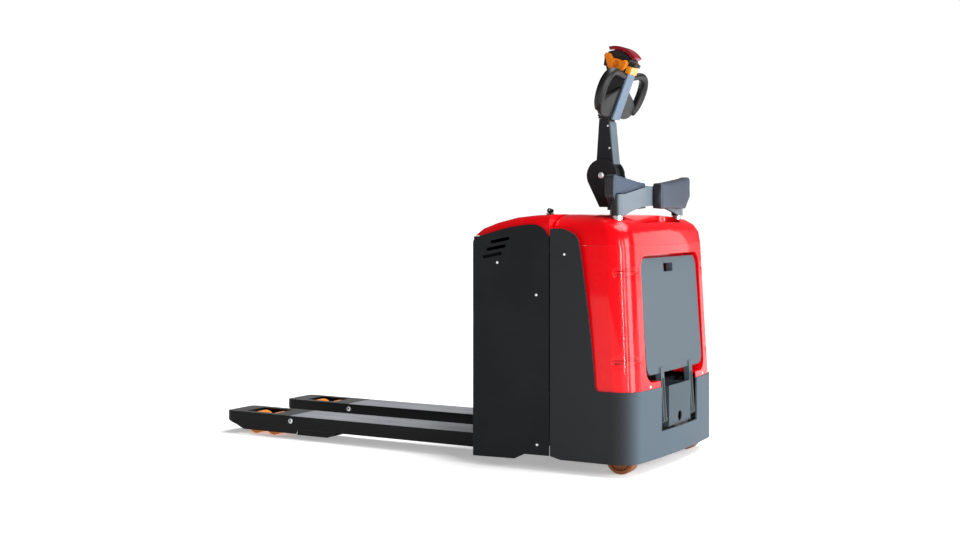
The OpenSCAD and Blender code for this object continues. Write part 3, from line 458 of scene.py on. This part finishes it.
# Tiller: a black steel arm with a pale strip up its back, and a grained black moulding for the
# head, with loop grips, an orange butterfly and coloured buttons.
def moulding(name, low, high, rough=0.42, grain=0.0011, depth=0.0001, gloss=0.0):
    skin = Finish(name, 0.0014, Coat_Weight=gloss, Coat_Roughness=0.12, Specular_IOR_Level=0.28)
    broad = skin.grain(0.05, 3.0)
    pebble = skin.grain(grain, 2.0)
    # Painted highlight: the edges are painted lighter than the moulding.
    edge_highlight = tuple(min(1, c * 1.6 + 0.01) for c in high[:3]) + (1,)
    skin.give("Base Color", (skin.edge * 0.25).mix(broad.mix(low, high), edge_highlight))
    skin.give("Roughness", rough - 0.05 + 0.1 * broad + 0.05 * pebble)
    skin.relief(pebble, depth)
    return skin.material


dress("tiller_arm", frame_black)
dress("arm_trim", powder_coat("arm_grey", paint(90, 102, 112), paint(170, 178, 186),
                              rough=0.4, grain=0.003, depth=0.00006, wear=0.3))
head_black = moulding("head_black", paint(24, 24, 26), paint(32, 32, 34))
for name in ("tiller_head", "lift_rocker"):
    dress(name, head_black)
grip_black = moulding("grip_black", paint(13, 13, 14), paint(19, 19, 21), 0.4, 0.0018, 0.00012)

lean = math.radians(21.3)
head_foot = Vector((0.63234, 0, 1.148))
head_rear = Vector((math.cos(lean), 0, -math.sin(lean)))
head_up = Vector((math.sin(lean), 0, math.cos(lean)))
head_side = Vector((0, 1, 0))


def between(before, here, there, after, t):
    """A smooth curve's value a share t of the way from here to there."""
    slope = there - before
    bend = 2 * before - 5 * here + 4 * there - after
    twist = 3 * here - before - 3 * there + after
    return 0.5 * (2 * here + slope * t + bend * t ** 2 + twist * t ** 3)


def grip_loop(name, node, hand):
    """One grip: a thick oval bar that leaves the head, bends down round the fingers and ends in a web."""
    low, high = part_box(node)
    middle = Vector(((low.x + high.x) / 2, 0, (low.z + high.z) / 2))
    depth = (middle - head_foot).dot(head_rear) - 0.004

    def spot(side, up, back):
        return head_foot + head_rear * back + head_up * up + head_side * (hand * side)

    route = [(0.0270, 0.149), (0.052, 0.1535), (0.080, 0.1585), (0.105, 0.1600), (0.128, 0.1560),
             (0.1455, 0.1440), (0.1565, 0.1240), (0.1600, 0.1000), (0.1570, 0.0740), (0.1480, 0.0480),
             (0.1340, 0.0280)]
    girth = [0.0120, 0.0118, 0.0122, 0.0132, 0.0146, 0.0156, 0.0160, 0.0160, 0.0158, 0.0148, 0.0120]
    steps = 6
    fine = []
    for i in range(len(route) - 1):
        four = [route[max(0, min(len(route) - 1, i + k))] for k in (-1, 0, 1, 2)]
        for step in range(steps):
            t = step / steps
            point = [between(*values, t) for values in zip(*four)]
            fine.append((point, girth[i] + (girth[i + 1] - girth[i]) * t))
    fine.append((list(route[-1]), girth[-1]))
    shape = bmesh.new()
    sides = 20
    loops = []
    for i, (point, radius) in enumerate(fine):
        ahead, behind = fine[min(i + 1, len(fine) - 1)][0], fine[max(i - 1, 0)][0]
        along = Vector((ahead[0] - behind[0], ahead[1] - behind[1])).normalized()
        across = Vector((-along.y, along.x))
        loop = []
        for k in range(sides):
            turn = 2 * math.pi * k / sides
            side = point[0] + across.x * radius * math.cos(turn)
            up = point[1] + across.y * radius * math.cos(turn)
            loop.append(shape.verts.new(spot(side, up, depth + radius * 1.08 * math.sin(turn))))
        loops.append(loop)
    for first, second in zip(loops, loops[1:]):
        join_rings(shape, first, second)
    for loop, push in ((loops[0], 0), (loops[-1], 0.006)):
        close_ring(shape, loop, sum((v.co for v in loop), Vector()) / sides - head_up * push)

    web = [(0.0275, 0.112), (0.048, 0.101), (0.068, 0.0915), (0.088, 0.083), (0.106, 0.074),
           (0.122, 0.062), (0.138, 0.050), (0.142, 0.036), (0.132, 0.022), (0.116, 0.011),
           (0.096, 0.005), (0.072, 0.003), (0.048, 0.006), (0.0275, 0.012)]
    web_side, web_up, web_root = 0.076, 0.048, 0.03
    rings = []
    for share, back in ((0.90, -0.0075), (0.965, -0.0065), (1.0, -0.0035),
                        (1.0, 0.0035), (0.965, 0.0065), (0.90, 0.0075)):
        ring = []
        for side, up in web:
            drawn = side if side < web_root else web_side + (side - web_side) * share
            ring.append(shape.verts.new(spot(drawn, web_up + (up - web_up) * share, depth - 0.001 + back)))
        rings.append(ring)
    for first, second in zip(rings, rings[1:]):
        join_rings(shape, first, second)
    for ring in (rings[0], rings[-1]):
        shape.faces.new(ring)
    bmesh.ops.recalc_face_normals(shape, faces=shape.faces)
    mesh = bpy.data.meshes.new(name)
    shape.to_mesh(mesh)
    shape.free()
    for face in mesh.polygons:
        face.use_smooth = True
    mesh.materials.append(grip_black)
    grip = bpy.data.objects.new(name, mesh)
    scene.collection.objects.link(grip)
    split = grip.modifiers.new("hard_edges", "EDGE_SPLIT")
    split.split_angle = math.radians(50)
    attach(grip, "tiller")
    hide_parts(node)


grip_loop("grip_loop_l", "handle_l", -1)
grip_loop("grip_loop_r", "handle_r", 1)
for name, finish, low, high, rough, grain, depth, gloss in (
        ("head_trim", "trim_blue_grey", paint(78, 98, 118), paint(88, 109, 130), 0.34, 0.002, 0.00004, 0.0),
        ("throttle", "throttle_orange", paint(196, 100, 4), paint(212, 116, 8), 0.28, 0.003, 0.00004, 0.6),
        ("horn_button", "button_yellow", paint(206, 132, 30), paint(220, 148, 44), 0.3, 0.003, 0.00004, 0.5),
        ("belly_button", "button_crimson", paint(112, 4, 20), paint(128, 8, 28), 0.3, 0.006, 0.00002, 0.3)):
    dress(name, moulding(finish, low, high, rough, grain, depth, gloss))
key_black = moulding("key_black", paint(16, 16, 17), paint(26, 26, 28), 0.3)
for name in ("key", "key_switch"):
    dress(name, key_black)
for number, (x, z) in enumerate(((0.6135, 1.128), (0.6195, 1.052))):
    button_screw(f"arm_screw_{number}", "tiller_arm", (x, -1, z), (0, 1, 0), 0.0034, "tiller")
button_screw("tilt_bolt", "tiller_arm", (0.59434, -1, 0.959), (0, 1, 0), 0.0105, "tiller")

# Backrest: an arched plate between two chrome posts, with a padded wing on each side of it. The
# wings are foam under coated fabric with a fine leather grain, drawn tight over soft edges.
backrest = Finish("backrest_grey", 0.0015, Specular_IOR_Level=0.12)
# Painted light and shade: faces towards the operator's end are blue-grey, the flanks painted dark grey as
# painted shade.
backrest_lit_back = backrest.rearward(0.25, 0.75)
backrest_tone_and_shade = backrest_lit_back.mix(paint(44, 43, 44), paint(98, 109, 117))
# Painted highlight: the edges of those faces are painted lighter.
backrest.give("Base Color", (backrest.edge * backrest_lit_back * 0.5).mix(backrest_tone_and_shade, paint(170, 180, 188)))
backrest.give("Roughness", 0.36 + 0.14 * backrest.grain(0.16, 4.0))
backrest.relief(backrest.grain(0.003, 1.0), 0.00006)
dress("backrest_frame", backrest.material)
vinyl = Finish("pad_vinyl", 0.003, Coat_Weight=0.1, Coat_Roughness=0.3, Specular_IOR_Level=0.4)
vinyl_broad = vinyl.grain(0.06, 3.0)
vinyl_cell = vinyl.place.node("TexVoronoi", {"feature": "DISTANCE_TO_EDGE"},
                              {"Vector": vinyl.place, "Scale": 430.0}, "Distance")
vinyl_pit = vinyl_cell.step(0.02, 0.22)
# Painted shade: faces that do not look towards the operator's end are painted near black.
vinyl_lit_front = vinyl.rearward(0.45, 0.75)
# Painted light: the left wing is painted lighter than the right, with a broad random mottle.
vinyl_lit_side_and_mottle = vinyl.y.step(0.16, -0.12) * 0.7 + 0.3 * vinyl_broad
vinyl_face = (vinyl_pit * vinyl_lit_side_and_mottle).mix(paint(28, 39, 54), paint(66, 84, 108))
vinyl_tone_and_shade = vinyl_lit_front.mix(paint(22, 24, 28), vinyl_face)
# Painted highlight: the edges of the front faces are painted lighter.
vinyl.give("Base Color", (vinyl_lit_front * vinyl.edge * 0.5).mix(vinyl_tone_and_shade, paint(120, 136, 152)))
vinyl.give("Roughness", 0.42 + 0.14 * vinyl_broad)
vinyl.relief(vinyl_pit + 0.4 * vinyl_broad, 0.00025)


def stuffed_wing(name, node, swell):
    """The foam wing: the pad's outline drawn in a little, then blown up like a cushion."""
    source = nodes[node].data
    shape = bmesh.new()
    shape.from_mesh(source)
    bmesh.ops.remove_doubles(shape, verts=shape.verts, dist=0.00001)
    mesh = bpy.data.meshes.new(name)
    shape.to_mesh(mesh)
    shape.free()
    wing = bpy.data.objects.new(name, mesh)
    scene.collection.objects.link(wing)
    remesh = wing.modifiers.new("skin", "REMESH")
    remesh.mode = "VOXEL"
    remesh.voxel_size = 0.004
    graph = bpy.context.evaluated_depsgraph_get()
    fine = bpy.data.meshes.new_from_object(wing.evaluated_get(graph))
    wing.modifiers.clear()
    wing.data = fine
    shape = bmesh.new()
    shape.from_mesh(fine)
    for _ in range(2):
        bmesh.ops.smooth_vert(shape, verts=shape.verts, factor=0.5,
                              use_axis_x=True, use_axis_y=True, use_axis_z=True)
    shape.normal_update()
    for vert in shape.verts:
        vert.co -= vert.normal * swell * 0.9
    shape.to_mesh(fine)
    shape.free()
    rest = [v.co.copy() for v in fine.vertices]
    cloth = wing.modifiers.new("cloth", "CLOTH")
    cloth.settings.use_pressure = True
    cloth.settings.uniform_pressure_force = 4
    cloth.settings.effector_weights.gravity = 0
    cloth.settings.tension_stiffness = 30
    cloth.settings.compression_stiffness = 30
    cloth.point_cache.frame_start, cloth.point_cache.frame_end = 1, 20
    for step in range(1, 21):
        scene.frame_set(step)
    graph = bpy.context.evaluated_depsgraph_get()
    blown = wing.evaluated_get(graph).to_mesh()
    moved = [v.co.copy() for v in blown.vertices]
    wing.evaluated_get(graph).to_mesh_clear()
    wing.modifiers.clear()
    scene.frame_set(1)
    for vert, before, after in zip(wing.data.vertices, rest, moved):
        travel = after - before
        if travel.length > swell:
            travel = travel.normalized() * swell
        vert.co = before + travel
    for face in wing.data.polygons:
        face.use_smooth = True
    smooth = wing.modifiers.new("fine_skin", "SUBSURF")
    smooth.levels = smooth.render_levels = 1
    wing.data.materials.clear()
    wing.data.materials.append(vinyl.material)
    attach(wing, "backrest")
    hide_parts(node)


stuffed_wing("wing_pad_l", "pad_l", 0.002)
stuffed_wing("wing_pad_r", "pad_r", 0.002)

# Platform: a folding steel plate in grey textured powder coat, with a ribbed rubber mat on the
# side that is stood on. A gas strut raises it, and a grey bracket carries its hinge.
plate = Finish("platform_grey", 0.0015, Specular_IOR_Level=0.16)
plate_broad = plate.grain(0.16, 4.0)
plate_fine = plate.grain(0.002, 1.0)
plate_tone = plate_broad.mix(paint(63, 74, 82), paint(72, 83, 91))
# Painted shade: a near black band down each arm stands in for the shaded inside of its channel.
arm_channel_shade = abs(abs(plate.y) - 0.123).step(0.0092, 0.0082) * plate.z.step(0.2955, 0.2915)
plate_worn = plate.rub(0.5).mix(plate_tone, paint(126, 134, 140))
plate.give("Base Color", arm_channel_shade.mix(plate_worn, paint(12, 12, 13)))
plate.give("Roughness", 0.42 + 0.12 * plate_broad)
plate.relief(plate_fine, 0.00018)
dress("platform", plate.material)
dress("hinge_bracket", powder_coat("bracket_grey", paint(62, 74, 82), paint(140, 148, 154),
                                   rough=0.45, grain=0.002, depth=0.00015, wear=0.4))
dress("gas_cylinder", frame_black)
mat = Finish("mat_rubber", 0.001, Specular_IOR_Level=0.3)
mat_dust = mat.grain(0.03, 5.0)
mat.give("Base Color", mat_dust.mix(paint(20, 20, 21), paint(40, 40, 41)))
mat.give("Roughness", 0.62 + 0.2 * mat_dust)
mat.relief(mat.grain(0.0015, 2.0), 0.0002)
dress("platform_mat", mat.material)

mat_low, mat_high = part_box("platform_mat")
hinge = Vector((0.85434, 0, 0.158))
plate_lean = math.radians(4)
plate_up = Vector((-math.sin(plate_lean), 0, math.cos(plate_lean)))
plate_out = Vector((-math.cos(plate_lean), 0, -math.sin(plate_lean)))
mat_tall = (mat_high - hinge).dot(plate_up)
mat_foot = (mat_low - hinge).z / math.cos(plate_lean)
rib_reach = mat_high.y - 0.03
rib_pitch = 0.0118
rib_profile = [(-0.0026, 0.0), (-0.0018, 0.0011), (0.0, 0.0015), (0.0018, 0.0011), (0.0026, 0.0)]
shape = bmesh.new()
for row in range(30):
    level = mat_foot + 0.03 + row * rib_pitch
    if level > mat_tall - 0.09:
        break
    start = hinge + plate_up * level + plate_out * 0.3
    face_found, seat, _, _ = nodes["platform_mat"].ray_cast(start, -plate_out)
    if not face_found:
        continue
    ends = []
    for across in (-rib_reach, rib_reach):
        foot = Vector((seat.x, across, seat.z))
        ends.append([shape.verts.new(foot + plate_up * up + plate_out * out) for up, out in rib_profile])
    for k in range(len(rib_profile) - 1):
        shape.faces.new((ends[0][k], ends[0][k + 1], ends[1][k + 1], ends[1][k]))
    shape.faces.new(ends[0])
    shape.faces.new(reversed(ends[1]))
bmesh.ops.recalc_face_normals(shape, faces=shape.faces)
rib_mesh = bpy.data.meshes.new("mat_ribs")
shape.to_mesh(rib_mesh)
shape.free()
rib_mesh.materials.append(mat.material)
mat_ribs = bpy.data.objects.new("mat_ribs", rib_mesh)
scene.collection.objects.link(mat_ribs)
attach(mat_ribs, "platform")
